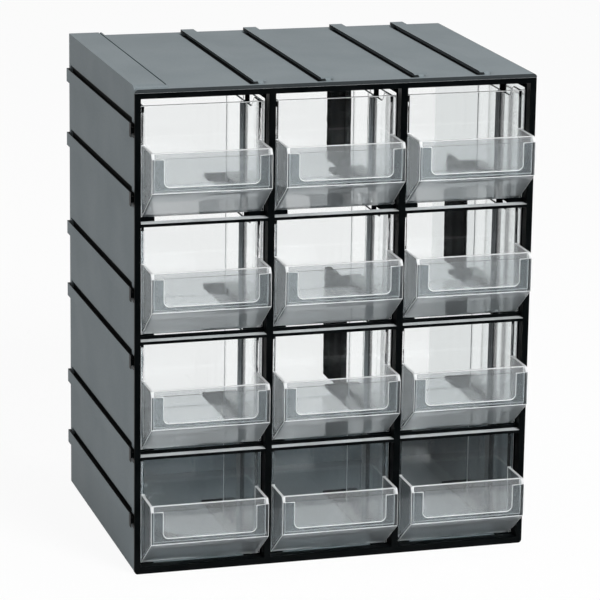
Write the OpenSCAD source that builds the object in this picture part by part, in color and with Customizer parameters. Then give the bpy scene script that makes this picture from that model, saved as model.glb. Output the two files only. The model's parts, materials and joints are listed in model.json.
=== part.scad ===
// Parts bin cabinet: an open-backed sleeve with joining rails, a front frame, side frames and
// partitions with runners, and clear drawers with a pocket grip and a label cover.
// Millimetres. +Z is up, the drawers open towards -Y, and the origin is the centre of the base.

/* [Casing] */
// Width over the side walls, joining rails left out
body_w = 225; // [200:1:290]
// Depth from the front edge to the open back, grips left out
body_d = 165; // [145:1:220]
// Height from the base to the top wall
body_h = 270; // [250:1:360]
// Thickness of the sleeve's four walls
wall = 2.4; // [2.2:0.1:3.2]
// Radius along the sleeve's long outer corners
corner_r = 2; // [1:0.5:4]
// Height of the sleeve's edge that shows above the front frame
lip = 2; // [1.2:0.1:2.1]
// Height of the sill across the foot of the open back
sill_h = 24; // [8:1:50]

/* [Cells] */
// Drawers side by side
columns = 3; // [2:1:4]
// Drawers one above another
rows = 4; // [3:1:5]
// Distance from the outside to the first and last column
side_band = 3.4; // [3.4:0.1:6]
// Distance from the top of the casing to the top row
top_band = 5.9; // [4.5:0.1:12]
// Height of the lowest runners above the base
bottom_band = 4.1; // [3.8:0.1:12]
// Width of the posts and partitions between columns
post_w = 3.8; // [3:0.1:8]

/* [Front frame] */
// Depth of the posts and cross rails from front to back
frame_t = 6.4; // [4:0.2:8]
// Thickness of the border that covers the ends of the sleeve's sides and base
flange_t = 1.6; // [1.2:0.1:2.2]
// Height of the bar across the top, measured from the top of the casing
head_h = 5.2; // [4:0.1:8]
// Height of the thin rails that cross the front between rows
cross_h = 1.8; // [1.2:0.1:3]
// Open height between a cross rail and the drawer above it
sight_gap = 2; // [1.6:0.1:5]
// Thickness of the ledge that stands behind the lower cross rails
ledge_t = 1.6; // [1:0.1:2.4]

/* [Runners] */
// How far a runner reaches under a drawer
runner_reach = 9; // [5:0.5:14]
// Distance from the front edge to the back end of the runners
runner_end = 106; // [102:1:130]
// Thickness of a runner
runner_t = 2.2; // [1.2:0.1:2.6]
// Height of the bar that carries a runner
bar_h = 7; // [4:0.5:14]
// Width of the upright bar right behind the front frame
upright_w = 3; // [2:0.5:6]
// Distance from the front edge to the second upright bar
brace_v = 44; // [25:1:55]
// Width of the second upright bar, from front to back
brace_w = 6; // [3:0.5:14]
// Thickness of the second upright bar, which lies along the left face of a partition
brace_t = 1.2; // [0.8:0.1:3]
// Width of the webs that stiffen a bay, from front to back
web_w = 35.5; // [20:0.5:45]
// How far a web laps over the ends of the bars
web_lap = 1.5; // [1:0.5:6]
// Height of the stops behind each drawer's window
stop_h = 8; // [4:1:20]
// Thickness of the stops behind each drawer's window
stop_t = 2; // [1:0.5:4]
// Width of the tongue that locates a partition in its post
tongue_w = 1.6; // [1:0.1:2.4]
// Length of the tongue that locates a partition in its post
tongue_d = 1.2; // [0.6:0.1:1.8]

/* [Joining rails] */
// Distance from one pair of rails to the next
rail_pitch = 90; // [70:1:120]
// Distance between the two rails of a pair
rail_spread = 37.5; // [25:0.5:50]
// Width of a rail across its head
rail_w = 7.6; // [6.6:0.1:9]
// Height of a rail above the wall
rail_h = 1.6; // [1.3:0.1:1.6]
// Thickness of a rail's head
head_t = 0.5; // [0.5:0.1:0.7]
// How far a rail's head stands out past its foot, on each side
overhang = 2.3; // [1.5:0.1:2.4]
// Depth of the slot sunk beside a rail's foot
relief = 1.3; // [0.3:0.1:1.4]
// How far the slot runs out past the rail's head
relief_out = 2.4; // [0.4:0.1:3]
// Length of the solid end at the back of a rail
rail_end = 4; // [2:0.5:10]
// Length of the ramp at the front end of a top rail
lead_in = 3; // [1.5:0.5:10]
// Height at which the ramp starts
toe = 0.4; // [0.2:0.1:0.6]
// Distance from the left side to the middle of the first pair on the top
first_pair_x = 88.5; // [60:0.5:100]
// Distance from the base to the middle of the first pair on the side
first_pair_z = 49; // [40:1:60]
// Width of the raised land along the top's left edge
land_w = 19; // [8:0.5:25]
// Width of the scored line along the land's edge
score_w = 0.9; // [0.5:0.1:2]
// Depth of the scored line
score_d = 0.6; // [0.3:0.1:1]
// Distance from the front edge to the rails
rail_front = 2.6; // [2.6:0.1:3.4]
// Height of the stubs on the front frame that the side rails start with
stub_h = 8; // [7.8:0.1:10]

/* [Drawer] */
// Distance from the front edge back to the drawer's clear window
window_recess = 7; // [4:0.5:10]
// Length of the drawer from the front of its window to its back
drawer_d = 70; // [60:1:90]
// Thickness of the window wall
window_t = 1.8; // [1.2:0.1:3]
// How far the window stands out past the drawer's sides
edge_out = 1.6; // [1.2:0.1:2.5]
// Thickness of the side and back walls
side_t = 1.4; // [1:0.1:2.5]
// Thickness of the floor
floor_t = 1.6; // [1:0.1:3]
// How much lower the side and back walls are than the window
side_drop = 6; // [2:0.5:12]
// Length of the full-height shoulder behind the window
shoulder = 12; // [5:1:30]
// Distance from the drawer's window to the pair of divider ribs
rib_v = 35; // [15:1:50]
// Width of the divider slot between two ribs
slot_w = 1.6; // [1:0.1:3]
// Thickness of a rib
rib_t = 1; // [0.8:0.1:2]
// How far a rib stands out of the side wall
rib_out = 1.2; // [0.8:0.1:2.5]

/* [Grip] */
// How far the pocket grip stands in front of the casing
grip_reach = 16; // [10:0.5:25]
// How much narrower the grip is than the drawer, on each side
grip_inset = 1.5; // [0.5:0.1:4]
// Wall thickness of the grip
grip_t = 1.6; // [1.2:0.1:2.5]
// Height of the grip's rim above the drawer's underside
rim_h = 39; // [30:0.5:44]
// Height at which the front of the grip turns under
knee_h = 17.5; // [8:0.5:20]
// Width of the lugs that hold the label cover
lug_w = 7; // [4:0.5:12]
// Thickness of the lugs and lip that hold the label cover
lug_t = 1; // [0.8:0.1:1.6]
// Distance from the rim down to the tops of the lugs
lug_drop = 3; // [1:0.5:8]
// Height of the lip under the label cover
lip_h = 3.4; // [2.6:0.1:6]
// Radius of the label opening's lower corners
label_r = 3; // [1:0.5:5]
// Thickness of the label cover
cover_t = 0.7; // [0.5:0.1:1.2]

/* [Clearances] */
// Drawer to the cell on each side
side_gap = 0.5; // [0.3:0.1:1]
// Drawer to the cross rail above
top_gap = 0.6; // [0.4:0.1:2]
// Drawer to its runners
run_gap = 0.2; // [0.1:0.05:0.4]
// Drawer's window to the stops behind it
stop_gap = 0.3; // [0.2:0.1:1]
// Parts that are pushed together
fit_gap = 0.1; // [0.05:0.05:0.2]
// Joining rail to the groove of the next casing
rail_gap = 0.15; // [0.1:0.05:0.25]
// Top of the ledge, or of the frame's sill, below the drawer over it
ledge_gap = 0.4; // [0.3:0.1:1]

/* [Hidden] */
$fn = 48;
grey = [0.42, 0.45, 0.46];
black = [0.05, 0.05, 0.06];
clear = [0.85, 0.9, 0.92, 0.45];
cover = [0.7, 0.72, 0.74, 0.5];
past = 1;                       // how far a cut runs past the face it opens
inner_x = body_w / 2 - wall;    // inner face of the side walls
inner_z = body_h - wall;        // inner face of the top wall
cell_w = (body_w - 2 * side_band - (columns - 1) * post_w) / columns;
row_pitch = (body_h - top_band - bottom_band) / rows;
frame_back = body_d - wall;     // back end of the side frames, at the sill
frame_top = body_h - lip - fit_gap;
plate_t = side_band - wall;     // thickness of the side frames' plates
drawer_w = cell_w - 2 * side_gap;                 // over the window
drawer_h = row_pitch - cross_h - sight_gap - top_gap - run_gap;
drawer_back = window_recess + drawer_d;
bin_w = drawer_w - 2 * edge_out;                  // over the side walls
side_h = drawer_h - side_drop;
grip_w = drawer_w - 2 * grip_inset;
slot_front = -grip_reach + lug_t;                 // label slot, front face
slot_back = slot_front + cover_t + 2 * fit_gap;   // label slot, back face
panel_back = slot_back + grip_t;                  // inner face of the grip's front
slope = knee_h / (window_recess + grip_reach);    // rise of the turned-under face
under_t = grip_t * sqrt(1 + slope * slope);       // its wall, measured upright
lug_top = rim_h - lug_drop;
pairs_x = [for (x = first_pair_x; x + rail_spread / 2 + rail_w < body_w; x = x + rail_pitch) x];
pairs_z = [for (z = first_pair_z; z + rail_spread / 2 + rail_w < body_h; z = z + rail_pitch) z];

// Depth behind the front edge, as a Y position
function depth(v) = v - body_d / 2;
// Middle of a column, counted from 1 at the left
function cell_x(c) = -body_w / 2 + side_band + cell_w / 2 + (c - 1) * (cell_w + post_w);
// Middle of the partition to the right of a column
function post_x(c) = cell_x(c) + (cell_w + post_w) / 2;
// Top of the runners in a row, counted from 1 at the top
function seat_z(r) = body_h - top_band - r * row_pitch;
// Height of the drawer wall's turned-under face at a depth
function under_z(v) = slope * (window_recess - v);
// Rows in which a plate has a web, by the number of the column to its left
function web_rows(c) = c == columns ? [2] : c == columns - 1 ? [1, 3] : [];

// A box from one corner to the other
module block(lo, hi) translate(lo) cube(hi - lo);

// A shape drawn across the front, X by Z, run back from depth v0 to v1
module run_back(v0, v1) translate([0, depth(v1), 0]) rotate([90, 0, 0]) linear_extrude(v1 - v0) children();

// A shape drawn on the side, depth by Z, extruded from x0 to x1
module run_across(x0, x1)
    translate([x0, depth(0), 0]) rotate([90, 0, 90]) linear_extrude(x1 - x0) children();

// A rectangle with round corners, from one corner to the other
module round_rect(lo, hi, r) {
    translate([lo[0] + r, lo[1]]) square([hi[0] - lo[0] - 2 * r, hi[1] - lo[1]]);
    translate([lo[0], lo[1] + r]) square([hi[0] - lo[0], hi[1] - lo[1] - 2 * r]);
    for (x = [lo[0] + r, hi[0] - r], z = [lo[1] + r, hi[1] - r]) translate([x, z]) circle(r);
}

// Cross-section of a joining rail, a T with its foot on the X axis
module rail() {
    foot = rail_w - 2 * overhang;
    translate([-rail_w / 2, rail_h - head_t]) square([rail_w, head_t]);
    translate([-foot / 2, -wall / 2]) square([foot, wall / 2 + rail_h]);
}

// Slot sunk in the wall under a rail's head, on the side given as 1 or -1
module rail_relief(side) {
    width = overhang + relief_out;
    translate([side * (rail_w / 2 - overhang + width / 2) - width / 2, -relief])
        square([width, relief + toe / 2]);
}

// Solid end of a rail, or the pocket for it, by the clearance round it
module rail_stop(low, gap) translate([-rail_w / 2 - gap, low]) square([rail_w + 2 * gap, rail_h + gap - low]);

// Groove that takes the next casing's rail, running clearance all round
module rail_groove() {
    foot = rail_w - 2 * overhang + 2 * rail_gap;
    neck = rail_h - head_t;
    translate([-rail_w / 2 - rail_gap, neck - rail_gap])
        square([rail_w + 2 * rail_gap, head_t + 2 * rail_gap]);
    translate([-foot / 2, -past]) square([foot, past + neck]);
}

// What a ramp takes off a rail's front end: depth by height above the wall, starting at depth v
module ramp(v) {
    high = rail_h + past;
    end = v + lead_in * (high - toe) / (rail_h - toe);
    polygon([[v - past, toe], [v, toe], [end, high], [v - past, high]]);
}

// Both members of each pair along the top or the base
module each_pair_x() for (x = pairs_x, s = [-1, 1])
    translate([x - body_w / 2 + s * rail_spread / 2, 0]) children();

// Both members of each pair up a side wall, turned to stand out towards -X
module each_pair_z() for (z = pairs_z, s = [-1, 1])
    translate([0, z + s * rail_spread / 2]) rotate(90) children();

// The front frame's stubs in the left wall, or the notches for them, by the clearance round them
module stubs(x0, x1, v0, v1, gap) for (z = pairs_z, s = [-1, 1]) {
    middle = z + s * rail_spread / 2;
    block([x0, depth(v0), middle - stub_h / 2 - gap], [x1, depth(v1 + gap), middle + stub_h / 2 + gap]);
}

module shell_walls() {
    run_back(0, body_d) difference() {
        round_rect([-body_w / 2, 0], [body_w / 2, body_h], corner_r);
        translate([-inner_x, wall]) square([2 * inner_x, inner_z - wall]);
    }
    block([-inner_x, depth(frame_back), wall], [inner_x, depth(body_d), sill_h]);
}

// Rails and the raised land on the top, with ramps at their front ends, and the rails on the left
module joining_rails() {
    stop_v = body_d - rail_end;
    difference() {
        union() {
            run_back(rail_front, body_d) {
                translate([0, body_h]) each_pair_x() rail();
                translate([-body_w / 2, body_h - wall]) square([land_w, wall + rail_h]);
            }
            run_back(stop_v, body_d) translate([0, body_h]) each_pair_x() rail_stop(-wall / 2, 0);
        }
        translate([0, 0, body_h]) run_across(-body_w / 2 - past, body_w / 2 + past) ramp(rail_front);
        // Scored line along the land
        run_back(rail_front - past, body_d + past)
            translate([-body_w / 2 + land_w - 2 * score_w, body_h + rail_h - score_d])
                square([score_w, score_d + past]);
    }
    run_back(frame_t + fit_gap, body_d) translate([-body_w / 2, 0]) each_pair_z() rail();
    run_back(stop_v, body_d) translate([-body_w / 2, 0]) each_pair_z() rail_stop(-wall / 2, 0);
}

// Grooves for the next casing's rails, with pockets for their solid ends
module joining_grooves() {
    run_back(rail_front - fit_gap, body_d + past) {
        each_pair_x() rail_groove();
        translate([body_w / 2, 0]) each_pair_z() rail_groove();
        translate([-body_w / 2 - past, -past]) square([land_w + past + rail_gap, past + rail_h + rail_gap]);
    }
    run_back(body_d - rail_end - fit_gap, body_d + past) {
        each_pair_x() rail_stop(-past, rail_gap);
        translate([body_w / 2, 0]) each_pair_z() rail_stop(-past, rail_gap);
    }
}

module outer_shell() color(grey) difference() {
    union() {
        shell_walls();
        joining_rails();
    }
    // Rebates for the front frame
    run_back(-past, flange_t + fit_gap) translate([-body_w / 2 - past, -past])
        square([body_w + 2 * past, body_h - lip + past]);
    run_back(-past, frame_t + fit_gap) translate([-inner_x, wall]) square([2 * inner_x, body_h - lip - wall]);
    stubs(-body_w / 2 - past, -inner_x + past, -past, frame_t, fit_gap);
    // Slots beside the rails
    run_back(rail_front, body_d - rail_end) translate([0, body_h]) each_pair_x() rail_relief(-1);
    run_back(frame_t + fit_gap, body_d - rail_end) translate([-body_w / 2, 0]) each_pair_z() rail_relief(1);
    joining_grooves();
}

// Opening of one cell in the front frame
module cell_opening(r, c) {
    low = seat_z(r) + run_gap - (r == rows ? ledge_gap : sight_gap + run_gap);
    high = r == 1 ? body_h - head_h : seat_z(r - 1) - sight_gap - cross_h;
    translate([cell_x(c) - cell_w / 2, low]) square([cell_w, high - low]);
}

module frame_plate() difference() {
    union() {
        run_back(0, flange_t) difference() {
            round_rect([-body_w / 2, 0], [body_w / 2, body_h], corner_r);
            translate([-body_w / 2 - past, frame_top]) square([body_w + 2 * past, lip + 2 * past]);
        }
        run_back(0, frame_t) translate([-inner_x + fit_gap, wall + fit_gap])
            square([2 * (inner_x - fit_gap), frame_top - wall - fit_gap]);
    }
    run_back(-past, frame_t + past) for (r = [1:rows], c = [1:columns]) cell_opening(r, c);
}

module front_frame() color(black) difference() {
    union() {
        frame_plate();
        // Ledges behind the lower cross rails
        for (r = [2:rows - 1]) block(
            [-inner_x + fit_gap, depth(frame_t - ledge_t), seat_z(r) - sight_gap - cross_h],
            [inner_x - fit_gap, depth(frame_t), seat_z(r) + run_gap - ledge_gap]
        );
        // Stubs with the front ends of the side rails
        stubs(-body_w / 2, -inner_x + plate_t / 2, flange_t / 2, frame_t, 0);
        run_back(rail_front, frame_t) translate([-body_w / 2, 0]) each_pair_z() rail();
    }
    for (c = [1:columns - 1]) tongue(post_x(c), fit_gap);
}

// Tongue on a partition, or its socket, by the clearance round it
module tongue(x, gap) block(
    [x - tongue_w / 2 - gap, depth(frame_t - tongue_d - gap), seat_z(rows) + bar_h - gap],
    [x + tongue_w / 2 + gap, depth(frame_t + (gap > 0 ? past : 0)), inner_z - bar_h + gap]
);

// Upright bars, carrying bars, runners, stops and webs on a plate from x0 to x1, with a cell on
// the left and on the right where those are 1
module ladder(x0, x1, left, right, webs) {
    v0 = depth(frame_t);
    stop_v = window_recess + window_t + stop_gap;
    web_v = runner_end - web_lap;
    brace_x = min(x1, x0 + brace_t);
    block([x0, v0, wall], [x1, depth(frame_t + upright_w), inner_z]);
    block([x0, depth(brace_v), wall], [brace_x, depth(brace_v + brace_w), inner_z]);
    block([x0, v0, inner_z - bar_h], [x1, depth(frame_back), inner_z]);
    for (r = [1:rows]) {
        seat = seat_z(r);
        block([x0, v0, max(wall, seat - bar_h)], [x1, depth(runner_end), seat]);
        block(
            [x0 - left * runner_reach, v0, max(wall, seat - runner_t)],
            [x1 + right * runner_reach, depth(runner_end), seat]
        );
        block(
            [x0 - left * edge_out, depth(stop_v), seat - runner_t / 2],
            [x1 + right * edge_out, depth(stop_v + stop_t), seat + stop_h]
        );
    }
    for (r = webs) block(
        [x0, depth(web_v), seat_z(r) - bar_h / 2],
        [x1, depth(web_v + web_w), (r == 1 ? inner_z : seat_z(r - 1)) - bar_h / 2]
    );
}

module side_frame_left() color(black) ladder(-inner_x, -inner_x + plate_t, 0, 1, web_rows(0));

module side_frame_right() color(black) ladder(inner_x - plate_t, inner_x, 1, 0, web_rows(columns));

module partition(c) color(black) {
    ladder(post_x(c) - post_w / 2, post_x(c) + post_w / 2, 1, 1, web_rows(c));
    tongue(post_x(c), 0);
}

// Places a drawer, or its cover, in its cell: X from the middle, Z from the drawer's underside
module in_cell(r, c) translate([cell_x(c), 0, seat_z(r) + run_gap]) children();

// Outline of a drawer's side wall
module side_outline() polygon([
    [window_recess, 0], [drawer_back, 0], [drawer_back, side_h],
    [window_recess + shoulder + side_drop, side_h], [window_recess + shoulder, drawer_h],
    [window_recess, drawer_h]
]);

module divider_ribs() for (s = [-1, 1], side = [-1, 1]) {
    v = window_recess + rib_v + s * (slot_w + rib_t) / 2;
    width = rib_out + side_t / 2;
    x = side * (bin_w / 2 - side_t / 2 - width / 2);
    block(
        [x - width / 2, depth(v - rib_t / 2), floor_t / 2],
        [x + width / 2, depth(v + rib_t / 2), side_h - side_t]
    );
}

// Pocket grip: two cheeks, the front, the turned-under face and the holder for the label cover
module grip() {
    for (side = [-1, 1]) {
        x = side * (grip_w - grip_t) / 2;
        run_across(x - grip_t / 2, x + grip_t / 2) polygon([
            [window_recess + window_t / 2, 0], [window_recess, 0], [-grip_reach, knee_h],
            [-grip_reach, lug_top], [slot_back, rim_h], [window_recess + window_t / 2, rim_h]
        ]);
    }
    block([-grip_w / 2, depth(slot_back), under_z(slot_back)], [grip_w / 2, depth(panel_back), rim_h]);
    run_across(-grip_w / 2, grip_w / 2) polygon([
        [window_recess + window_t / 2, 0], [window_recess, 0], [-grip_reach, knee_h],
        [-grip_reach, knee_h + under_t], [window_recess + window_t / 2, under_t]
    ]);
    run_back(-grip_reach, slot_front) difference() {
        translate([-grip_w / 2, knee_h]) square([grip_w, lug_top - knee_h]);
        round_rect(
            [-grip_w / 2 + lug_w, knee_h + lip_h], [grip_w / 2 - lug_w, lug_top + past + label_r], label_r
        );
    }
}

module drawer(r, c) color(clear) in_cell(r, c) {
    for (side = [-1, 1]) {
        x = side * (bin_w - side_t) / 2;
        run_across(x - side_t / 2, x + side_t / 2) side_outline();
    }
    run_back(window_recess, window_recess + window_t)
        translate([-drawer_w / 2, 0]) square([drawer_w, drawer_h]);
    block([-bin_w / 2, depth(drawer_back - side_t), 0], [bin_w / 2, depth(drawer_back), side_h]);
    block([-bin_w / 2, depth(window_recess), 0], [bin_w / 2, depth(drawer_back), floor_t]);
    divider_ribs();
    grip();
}

module label_cover(r, c) color(cover) in_cell(r, c) block(
    [-grip_w / 2 + grip_t + fit_gap, depth(slot_front + fit_gap), under_z(slot_front) + under_t + fit_gap],
    [grip_w / 2 - grip_t - fit_gap, depth(slot_back - fit_gap), lug_top - fit_gap]
);

outer_shell();
front_frame();
side_frame_left();
side_frame_right();
for (c = [1:columns - 1]) partition(c);
for (r = [1:rows], c = [1:columns]) drawer(r, c);
for (r = [1:rows], c = [1:columns])
    label_cover(r, c);
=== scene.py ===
"""Parts bin cabinet: its finishes, the rounded edges of its moulded pieces, a pale floor and soft light.

Everything is in metres in the frame's own axes: +X right, +Z up, the drawers open towards -Y.
"""

import json
import math

import bmesh
import bpy
from mathutils import Matrix, Vector


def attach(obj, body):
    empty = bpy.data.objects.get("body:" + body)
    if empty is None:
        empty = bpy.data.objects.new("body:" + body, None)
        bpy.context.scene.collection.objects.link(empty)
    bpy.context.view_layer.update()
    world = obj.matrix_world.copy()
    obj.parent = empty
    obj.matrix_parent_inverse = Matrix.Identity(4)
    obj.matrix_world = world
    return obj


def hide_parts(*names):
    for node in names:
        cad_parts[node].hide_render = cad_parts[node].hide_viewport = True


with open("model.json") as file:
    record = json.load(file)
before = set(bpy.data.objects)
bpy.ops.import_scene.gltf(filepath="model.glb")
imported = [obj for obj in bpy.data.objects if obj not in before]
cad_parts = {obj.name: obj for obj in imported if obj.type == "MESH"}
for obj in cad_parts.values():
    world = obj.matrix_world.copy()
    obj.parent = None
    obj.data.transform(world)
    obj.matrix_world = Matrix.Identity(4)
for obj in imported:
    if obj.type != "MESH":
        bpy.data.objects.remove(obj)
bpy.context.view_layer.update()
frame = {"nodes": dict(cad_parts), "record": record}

# ---------------------------------------------------------------- sizes

MM = 0.001
FRONT = -82.5 * MM                  # the casing's front edge

# The sleeve, rails left out
HALF_WIDTH, HEIGHT = 112.5 * MM, 270 * MM
WALL = 2.4 * MM
LAND = 20 * MM                      # the top's raised land lies nearer to the left edge than this
LIP = 2.2 * MM                      # just over the height of the lip above the front frame
SILL_TOP = 26 * MM                  # just over the sill at the back
LIP_SHADE, FOOT_SHADE = 0.85, 0.35  # how much painted shade darkens the lip's front and the inside of the foot, from 0 to 1

# Its joining rails
RAIL_START = FRONT + 2.5 * MM       # depth at which the rails and their slots start
SLOT_DEPTH = 1.4 * MM               # from the wall's face down to a slot's floor
NECK = 1.15 * MM                    # from the wall's face up to a rail's head

# The front frame
LEDGE_FRONT = FRONT + 4 * MM        # just behind the middle of a cross rail's top face
LOWEST_RAIL = 20 * MM               # a height under the lowest cross rail

# A drawer, by depth
HOLDER_FRONT = FRONT - 15.8 * MM    # just behind the front of the label holder
PANEL_BACK = FRONT - 7.5 * MM       # behind the grip's front panel
GRIP_BACK = FRONT + 7.5 * MM        # just behind where the grip meets the window
WINDOW_BACK = FRONT + 9 * MM        # just behind the window
RIBS_START, RIBS_END = FRONT + 38.5 * MM, FRONT + 45.5 * MM
BACK_CORNER = FRONT + 75 * MM       # just in front of the corners at the back
WALL_EDGE = 2.2 * MM                # a face narrower than this is the edge of a wall

SAME = 0.05 * MM                    # two places nearer than this are one
MERGE = 0.002 * MM                  # loose triangles' corners nearer than this are one

# The part of a face's normal along an axis, where 1 is a face square to it
SQUARE = 0.9                        # least part that counts as square
UNDER = 0.4                         # least part forwards, and downwards, of a turned-under face
ROUNDING = 0.2                      # least part along each of two axes of a rounding between them
UPWARD = 0.3                        # least part upwards of a face that looks up
UPRIGHT = 0.99                      # least part upwards of an upright edge's direction

# Turns of an edge, in degrees
FLAT_TURN = 0.5                     # most turn that counts as flat
SHARP_TURN = 40                     # least turn that a mould has rounded
SHADED_TURN = 50                    # least turn that is shaded as an edge


# ---------------------------------------------------------------- node trees

def linear(hex_colour):
    """An sRGB hex colour as linear RGBA."""
    channels = [int(hex_colour[i:i + 2], 16) / 255 for i in (1, 3, 5)]
    return [c / 12.92 if c <= 0.04045 else ((c + 0.055) / 1.055) ** 2.4 for c in channels] + [1.0]


def add(tree, kind, settings=None, **links):
    """A new node with its settings, and a value or another node's output on each socket that is given
    by its name, with _ for a space, or by _ and its number."""
    node = tree.nodes.new(kind)
    for name, value in (settings or {}).items():
        setattr(node, name, value)
    for name, value in links.items():
        socket = node.inputs[int(name[1:])] if name[0] == "_" else node.inputs[name.replace("_", " ")]
        if isinstance(value, bpy.types.NodeSocket):
            tree.links.new(value, socket)
        else:
            socket.default_value = value
    return node


def new_material(name):
    """An empty node material, its tree and its output node."""
    material = bpy.data.materials.new(name)
    material.use_nodes = True
    tree = material.node_tree
    tree.nodes.clear()
    return material, tree, add(tree, "ShaderNodeOutputMaterial")


def object_place(tree):
    return add(tree, "ShaderNodeTexCoord").outputs["Object"]


def attribute(tree, name):
    return add(tree, "ShaderNodeAttribute", {"attribute_name": name}).outputs["Fac"]


def noise(tree, place, size_mm, detail=2.0):
    """Noise whose grains are about size_mm across."""
    return add(tree, "ShaderNodeTexNoise", Vector=place, Scale=1 / (size_mm * MM),
               Detail=detail).outputs["Fac"]


def spread(tree, value, low, high, start=0.3, end=0.7):
    """The part of a pattern's range from start to end, spread from low to high."""
    return add(tree, "ShaderNodeMapRange", Value=value, From_Min=start, From_Max=end,
               To_Min=low, To_Max=high).outputs["Result"]


def arithmetic(tree, operation, first, second, clamp=False):
    settings = {"operation": operation, "use_clamp": clamp}
    return add(tree, "ShaderNodeMath", settings, _0=first, _1=second).outputs[0]


def blend(tree, share, first, second):
    """One colour with a share of another over it. Each is a hex colour or a node's output."""
    first, second = (linear(c) if isinstance(c, str) else c for c in (first, second))
    return add(tree, "ShaderNodeMix", {"data_type": "RGBA"}, _0=share, _6=first, _7=second).outputs[2]


# ---------------------------------------------------------------- materials

def moulded_abs_textured():
    """ABS moulded in a spark-eroded tool: mid grey, an even fine grain that breaks up the shine."""
    material, tree, output = new_material("abs_textured_grey")
    place = object_place(tree)
    grain = noise(tree, place, 1.1, 3.0)      # real grain is about 0.1 mm, drawn coarser so that it shows
    flow = noise(tree, place, 38.0, 2.0)      # slow change of tone along the melt's flow
    tone = arithmetic(tree, "ADD", spread(tree, grain, -0.5, 0.5), spread(tree, flow, -0.35, 0.35))
    colour = blend(tree, spread(tree, tone, 0.0, 1.0, -0.8, 0.8), "#707a7e", "#838c90")
    # Painted shade: slots and edges that lie in their own shade are painted near black
    colour = blend(tree, attribute(tree, "painted_shade"), colour, "#050607")
    bump = add(tree, "ShaderNodeBump", Strength=0.25, Distance=0.08 * MM, Height=grain)
    textured = add(tree, "ShaderNodeBsdfPrincipled", Base_Color=colour, IOR=1.54, Specular_IOR_Level=0.1,
                   Roughness=spread(tree, grain, 0.5, 0.62), Normal=bump.outputs[0])
    # The core of the tool is polished, so the inside mirrors what is bright at a low angle
    polish = add(tree, "ShaderNodeBsdfAnisotropic", Color=linear("#f4f6f6"), Roughness=0.14)
    facing = add(tree, "ShaderNodeLayerWeight", Blend=0.5).outputs["Facing"]
    share = arithmetic(tree, "MULTIPLY", attribute(tree, "inner"), spread(tree, facing, 0.0, 0.92, 0.3, 0.62))
    mix = add(tree, "ShaderNodeMixShader", _0=share, _1=textured.outputs[0], _2=polish.outputs[0])
    tree.links.new(mix.outputs[0], output.inputs[0])
    return material


def moulded_abs_black(name, shine, rough_low, rough_high):
    """Black ABS from a blasted tool: the pigment takes nearly all the light, with a weak, broad shine."""
    material, tree, output = new_material(name)
    place = object_place(tree)
    flow = noise(tree, place, 14.0, 3.0)
    bump = add(tree, "ShaderNodeBump", Strength=0.12, Distance=0.04 * MM, Height=noise(tree, place, 1.6, 2.0))
    colour = blend(tree, spread(tree, flow, 0.0, 1.0), "#020405", "#090c0d")
    # Painted reflection: the tops of the cross rails are painted pale where they would mirror the white
    # behind the cabinet
    reflection_breakup = spread(tree, noise(tree, place, 22.0, 2.0), 0.7, 1.0)
    colour = blend(tree, arithmetic(tree, "MULTIPLY", attribute(tree, "painted_reflection"), reflection_breakup), colour, "#cdd1d2")
    shader = add(tree, "ShaderNodeBsdfPrincipled", Base_Color=colour, IOR=1.5, Specular_IOR_Level=shine,
                 Roughness=spread(tree, flow, rough_low, rough_high), Normal=bump.outputs[0])
    tree.links.new(shader.outputs[0], output.inputs[0])
    return material


def clear_plastic(name, tint, highlight_frost, rough_low, rough_high, ripple_mm, ripple_depth_mm):
    """A clear moulded plastic that refracts and lets lamps light what is behind it. It is frosted white where
    the piece's edge attribute says so, as a painted highlight for the light that its clear edges pipe, and
    greyed by painted shade where its shade attribute says so."""
    material, tree, output = new_material(name)
    ripple = noise(tree, object_place(tree), ripple_mm, 1.5)
    bump = add(tree, "ShaderNodeBump", Strength=0.3, Distance=ripple_depth_mm * MM, Height=ripple)
    # Painted shade: greys the clear plastic on faces that lie in shade, such as the grips' under-faces
    painted_grey_shade = attribute(tree, "painted_grey_shade")
    # The IOR is a little low for the plastic, so that the thin walls mirror no more than the real ones
    clear = add(tree, "ShaderNodeBsdfPrincipled", Base_Color=blend(tree, painted_grey_shade, tint, "#a2a8ab"), IOR=1.5,
                Transmission_Weight=1.0, Roughness=spread(tree, ripple, rough_low, rough_high),
                Normal=bump.outputs[0])
    # Painted highlight: frosted white on the edges, where clear edges would pipe light
    frosted_highlight = add(tree, "ShaderNodeBsdfPrincipled", Base_Color=blend(tree, painted_grey_shade, highlight_frost, "#8b9194"), IOR=1.5,
                  Transmission_Weight=0.3, Roughness=0.4)
    plastic = add(tree, "ShaderNodeMixShader", _0=attribute(tree, "edge"), _1=clear.outputs[0],
                  _2=frosted_highlight.outputs[0])
    light = add(tree, "ShaderNodeLightPath").outputs
    shadow = add(tree, "ShaderNodeBsdfTransparent", Color=linear("#eef0f1"))
    mix = add(tree, "ShaderNodeMixShader", _0=light["Is Shadow Ray"], _1=plastic.outputs[0],
              _2=shadow.outputs[0])
    tree.links.new(mix.outputs[0], output.inputs[0])
    return material


def crystal_polystyrene():
    """Crystal polystyrene from a polished tool: glass clear and brittle bright, with faint flow ripples."""
    return clear_plastic("polystyrene_crystal", tint="#feffff", highlight_frost="#f6f8f9", rough_low=0.0,
                         rough_high=0.03, ripple_mm=9.0, ripple_depth_mm=0.08)


def cover_film():
    """Thin rigid vinyl cover over the label's place: clear with a very light haze."""
    return clear_plastic("vinyl_hazed", tint="#fcfdfd", highlight_frost="#f0f2f3", rough_low=0.02,
                         rough_high=0.1, ripple_mm=3.0, ripple_depth_mm=0.03)


# ---------------------------------------------------------------- pieces

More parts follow.
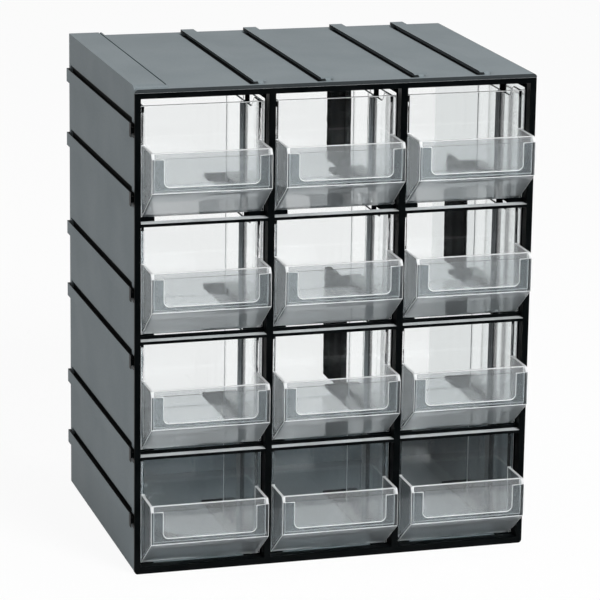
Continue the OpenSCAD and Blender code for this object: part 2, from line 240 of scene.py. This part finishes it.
# How much frosted white, a painted highlight, and how much painted grey shade each kind of face on a drawer
# gets, from 0 to 1
DRAWER_FACES = {
    "clear": (0.0, 0.0),
    "rib": (0.5, 1.0),
    "back_corner": (0.9, 0.5),
    "wall_edge": (0.85, 0.0),
    "under_face": (0.5, 1.0),
    "cheek": (0.25, 0.8),
    "holder": (0.0, 1.0),
    "panel": (0.14, 0.45),
}


def merged_copy(node_object):
    """A bmesh of a CAD node's mesh with its loose triangles merged and its flat faces made whole."""
    shape = bmesh.new()
    shape.from_mesh(node_object.data)
    bmesh.ops.remove_doubles(shape, verts=shape.verts, dist=MERGE)
    bmesh.ops.dissolve_limit(shape, angle_limit=math.radians(FLAT_TURN), verts=shape.verts,
                             edges=shape.edges)
    return shape


def mark_shell(shape):
    """Marks the sleeve's inner side walls, and paints shade on the slots beside and under its rails' heads,
    on the front of its lip, and a little on the inside of its base and sill."""
    # Painted shade for the slots, the lip's front and the inside of the foot
    painted_shade = shape.faces.layers.float.new("painted_shade")
    inner = shape.faces.layers.float.new("inner")
    for face in shape.faces:
        x, y, z = face.calc_center_median()
        normal = face.normal
        over_top, over_side = z - HEIGHT, -HALF_WIDTH - x
        outward = max(abs(normal.x), normal.z) > SQUARE
        on_wall = outward and min(abs(over_top), abs(over_side)) < SAME
        beside_top = -SLOT_DEPTH < over_top < NECK and x > -HALF_WIDTH + LAND
        beside_side = -SLOT_DEPTH < over_side < NECK
        lengthwise = abs(normal.y) < 1 - SQUARE
        if y > RAIL_START and lengthwise and not on_wall and (beside_top or beside_side):
            face[painted_shade] = 1.0
        if normal.y < -SQUARE and y < RAIL_START and over_top > -LIP:
            face[painted_shade] = LIP_SHADE
        if abs(abs(x) - HALF_WIDTH + WALL) < SAME and normal.x * x < 0:
            face[inner] = 1.0
        inside_foot = WALL / 2 < z < SILL_TOP and abs(x) < HALF_WIDTH - WALL
        if inside_foot and (normal.z > SQUARE or normal.y < -SQUARE):
            face[painted_shade] = FOOT_SHADE


def mark_painted_reflection(shape):
    """Marks the tops of the front frame's cross rails, over which the drawers are pulled, for a painted
    reflection that makes them pale.
    """
    painted_reflection = shape.faces.layers.float.new("painted_reflection")
    for face in shape.faces:
        place = face.calc_center_median()
        if face.normal.z > SQUARE and place.y < LEDGE_FRONT and place.z > LOWEST_RAIL:
            face[painted_reflection] = 1.0


def kind_of_face(face):
    """What part of a drawer a face belongs to, by its place and the way it looks."""
    place, normal = face.calc_center_median(), face.normal
    # Twice its area over its perimeter is about the width of a long face
    narrow = 2 * face.calc_area() / max(face.calc_perimeter(), SAME) < WALL_EDGE
    if RIBS_START < place.y < RIBS_END and narrow:
        return "rib"
    if place.y > BACK_CORNER and normal.z < UPWARD and min(abs(normal.x), abs(normal.y)) > ROUNDING:
        return "back_corner"
    if GRIP_BACK < place.y < WINDOW_BACK and normal.z > SQUARE:
        return "wall_edge"
    if place.y > GRIP_BACK:
        return "clear"
    if narrow:
        return "wall_edge"
    if max(normal.y, normal.z) < -UNDER:
        return "under_face"
    if abs(normal.x) > SQUARE:
        return "cheek"
    if place.y < HOLDER_FRONT and normal.y < -SQUARE:
        return "holder"
    if place.y < PANEL_BACK and abs(normal.y) > SQUARE:
        return "panel"
    return "clear"


def paint_drawer_highlight_and_shade(shape):
    """Marks on each face of a drawer how much frosted white, a painted highlight, and how much painted grey
    shade it gets.
    """
    edge = shape.faces.layers.float.new("edge")
    painted_grey_shade = shape.faces.layers.float.new("painted_grey_shade")
    for face in shape.faces:
        face[edge], face[painted_grey_shade] = DRAWER_FACES[kind_of_face(face)]


def bevel(shape, edges, radius, segments):
    """Rounds the given edges."""
    bmesh.ops.bevel(shape, geom=edges, offset=radius, offset_type="OFFSET", segments=segments, profile=0.5,
                    affect="EDGES", clamp_overlap=True, material=-1, loop_slide=True)


def is_sharp(edge):
    """Whether an edge lies between two faces that turn enough there for a mould to round it."""
    return len(edge.link_faces) == 2 and edge.calc_face_angle() > math.radians(SHARP_TURN)


def round_back_corners(shape, radius=1.3 * MM, least_length=30 * MM):
    """Rounds the upright outer corners at a drawer's back more than a mould rounds its other edges."""
    corners = [e for e in shape.edges if is_sharp(e) and e.is_convex and e.calc_length() > least_length
               and abs((e.verts[0].co - e.verts[1].co).normalized().z) > UPRIGHT
               and all(v.co.y > BACK_CORNER for v in e.verts)]
    bevel(shape, corners, radius, segments=4)


def round_edges(shape, radius):
    """Rounds every sharp edge, as a mould does."""
    bevel(shape, [e for e in shape.edges if is_sharp(e)], radius, segments=2)
    bmesh.ops.remove_doubles(shape, verts=shape.verts, dist=MERGE)


def finish_piece(shape, name, body, replaced, material):
    """Turns a bmesh into a smooth-shaded piece that rides on a body in place of a CAD node."""
    for face in shape.faces:
        face.smooth = True
    mesh = bpy.data.meshes.new(name)
    shape.to_mesh(mesh)
    shape.free()
    mesh.set_sharp_from_angle(angle=math.radians(SHADED_TURN))
    mesh.materials.append(material)
    piece = bpy.data.objects.new(name, mesh)
    bpy.context.scene.collection.objects.link(piece)
    weighted = piece.modifiers.new("flat_faces", "WEIGHTED_NORMAL")
    weighted.keep_sharp = True
    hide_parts(replaced)
    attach(piece, body)


EDGE_RADIUS = {
    "shell_grey": 0.4 * MM,
    "frame_black": 0.3 * MM,
    "drawer_clear": 0.3 * MM,
    "cover_clear": 0.12 * MM,
}
slot_of = {part["node"]: part["material_slot"] for part in frame["record"]["subparts"]}
materials = {
    "shell_grey": moulded_abs_textured(),
    "frame_black": moulded_abs_black("abs_satin_black", shine=0.06, rough_low=0.34, rough_high=0.46),
    "drawer_clear": crystal_polystyrene(),
    "cover_clear": cover_film(),
}
inside_black = moulded_abs_black("abs_matt_black", shine=0.0, rough_low=0.6, rough_high=0.7)

for body, nodes in frame["record"]["behaviour"]["bodies"].items():
    for node in nodes:
        slot = slot_of[node]
        inside = slot == "frame_black" and node != "front_frame"
        shape = merged_copy(frame["nodes"][node])
        if slot == "shell_grey":
            mark_shell(shape)
        # The cross rails' tops get a painted reflection
        if node == "front_frame":
            mark_painted_reflection(shape)
        if slot == "drawer_clear":
            round_back_corners(shape)
        round_edges(shape, EDGE_RADIUS[slot])
        if slot == "drawer_clear":
            paint_drawer_highlight_and_shade(shape)
        finish_piece(shape, node + "_moulded", body, node, inside_black if inside else materials[slot])


# ---------------------------------------------------------------- floor and light

BOARD_GLOW = 0.93    # part of the board's white that is its own where it is seen; the rest takes the shadow
LIGHT_LEVEL = 0.42   # even light that the studio gives from all round
ROOM = 0.04          # brightness of the room in front of the cabinet, where white is 1
BOARD_FADE = (-0.3, 0.1)    # depths between which the board's mirror image goes from the room's to white
SKY_FADE = (-0.25, 0.1)     # the same for the world, by the part of a ray's direction along the depth
LAMP_PLACE, LAMP_TARGET = (0.68, -1.69, 1.36), (0, 0, 0.13)
LAMP_SIZE, LAMP_POWER = 0.9, 47


def stage_rays(tree):
    """1 for rays that see the stage straight or through the plastic, and 1 for rays that mirror it."""
    ray = add(tree, "ShaderNodeLightPath").outputs
    bounced = arithmetic(tree, "GREATER_THAN", ray["Glossy Depth"], 0.5)
    mirrored = arithmetic(tree, "MULTIPLY", ray["Is Glossy Ray"], bounced)
    either = arithmetic(tree, "MAXIMUM", ray["Is Camera Ray"], ray["Is Glossy Ray"])
    either = arithmetic(tree, "MAXIMUM", either, ray["Is Transmission Ray"])
    return arithmetic(tree, "SUBTRACT", either, mirrored, clamp=True), mirrored


def pale_floor():
    """Matt white board that keeps the cabinet's shadow. A gloss mirrors it as white from behind the
    cabinet and as dim from in front of it, where the room shades it."""
    material, tree, output = new_material("board_white")
    diffuse = add(tree, "ShaderNodeBsdfDiffuse", Color=linear("#f2f2f2"))
    glow = add(tree, "ShaderNodeEmission", Color=linear("#ffffff"), Strength=1.0)
    seen, mirrored = stage_rays(tree)
    board = add(tree, "ShaderNodeMixShader", _0=arithmetic(tree, "MULTIPLY", seen, BOARD_GLOW),
                _1=diffuse.outputs[0], _2=glow.outputs[0])
    along = add(tree, "ShaderNodeSeparateXYZ", Vector=object_place(tree)).outputs["Y"]
    image = add(tree, "ShaderNodeEmission", Color=linear("#ffffff"),
                Strength=spread(tree, along, ROOM, 1.0, *BOARD_FADE))
    mix = add(tree, "ShaderNodeMixShader", _0=mirrored, _1=board.outputs[0], _2=image.outputs[0])
    tree.links.new(mix.outputs[0], output.inputs[0])
    shape = bmesh.new()
    bmesh.ops.create_grid(shape, x_segments=1, y_segments=1, size=6.0)
    mesh = bpy.data.meshes.new("floor")
    shape.to_mesh(mesh)
    shape.free()
    mesh.materials.append(material)
    floor = bpy.data.objects.new("floor", mesh)
    bpy.context.scene.collection.objects.link(floor)


def soft_world():
    """An even studio that lights at one level, is white where it is seen, and mirrors in a gloss as white
    from behind the cabinet and dimmer from in front of it, where the room is."""
    world = bpy.data.worlds.new("studio")
    world.use_nodes = True
    tree = world.node_tree
    tree.nodes.clear()
    seen, mirrored = stage_rays(tree)
    direction = add(tree, "ShaderNodeTexCoord").outputs["Generated"]
    along = add(tree, "ShaderNodeSeparateXYZ", Vector=direction).outputs["Y"]
    straight = add(tree, "ShaderNodeMapRange", Value=seen, To_Min=LIGHT_LEVEL, To_Max=1.0).outputs[0]
    strength = add(tree, "ShaderNodeMix", {"data_type": "FLOAT"}, _0=mirrored, _2=straight,
                   _3=spread(tree, along, ROOM, 1.0, *SKY_FADE)).outputs[0]
    background = add(tree, "ShaderNodeBackground", Color=linear("#ffffff"), Strength=strength)
    tree.links.new(background.outputs[0], add(tree, "ShaderNodeOutputWorld").inputs[0])
    bpy.context.scene.world = world


def soft_lamp():
    """A large round lamp high on the right. The plastic shows the even studio, not the lamp's disc."""
    lamp = bpy.data.lights.new("key", "AREA")
    lamp.shape = "DISK"
    lamp.size = LAMP_SIZE
    lamp.energy = LAMP_POWER
    lamp_object = bpy.data.objects.new("key", lamp)
    lamp_object.location = LAMP_PLACE
    lamp_object.visible_glossy = False
    towards = Vector(LAMP_TARGET) - Vector(LAMP_PLACE)
    lamp_object.rotation_euler = towards.to_track_quat("-Z", "Y").to_euler()
    bpy.context.scene.collection.objects.link(lamp_object)


pale_floor()
soft_world()
soft_lamp()

# ---------------------------------------------------------------- camera

# The camera stands to the left of the cabinet and above it, and looks down on it with a long lens
SENSOR = 36.0
FRAME_WIDTH = 600
FOCAL_PIXELS = 3139.0
CAMERA_PLACE = Vector((-0.48417, -1.66516, 0.58592))
YAW, PITCH, ROLL = (math.radians(a) for a in (16.334, -14.798, 0.833))

camera = bpy.data.cameras.new("camera")
camera.sensor_width = SENSOR
camera.lens = FOCAL_PIXELS / FRAME_WIDTH * SENSOR
camera.clip_start, camera.clip_end = 0.1, 30.0
camera_object = bpy.data.objects.new("camera", camera)
camera_object.matrix_world = (
    Matrix.Translation(CAMERA_PLACE) @ Matrix.Rotation(-YAW, 4, "Z")
    @ Matrix.Rotation(math.radians(90) + PITCH, 4, "X") @ Matrix.Rotation(ROLL, 4, "Z")
)
bpy.context.scene.collection.objects.link(camera_object)
bpy.context.scene.camera = camera_object

# Enough bounces to see through the walls of two drawers, one behind the other
scene = bpy.context.scene
scene.view_settings.view_transform = "Standard"
scene.cycles.max_bounces = 28
scene.cycles.transmission_bounces = 28
scene.cycles.glossy_bounces = 10
scene.cycles.transparent_max_bounces = 32
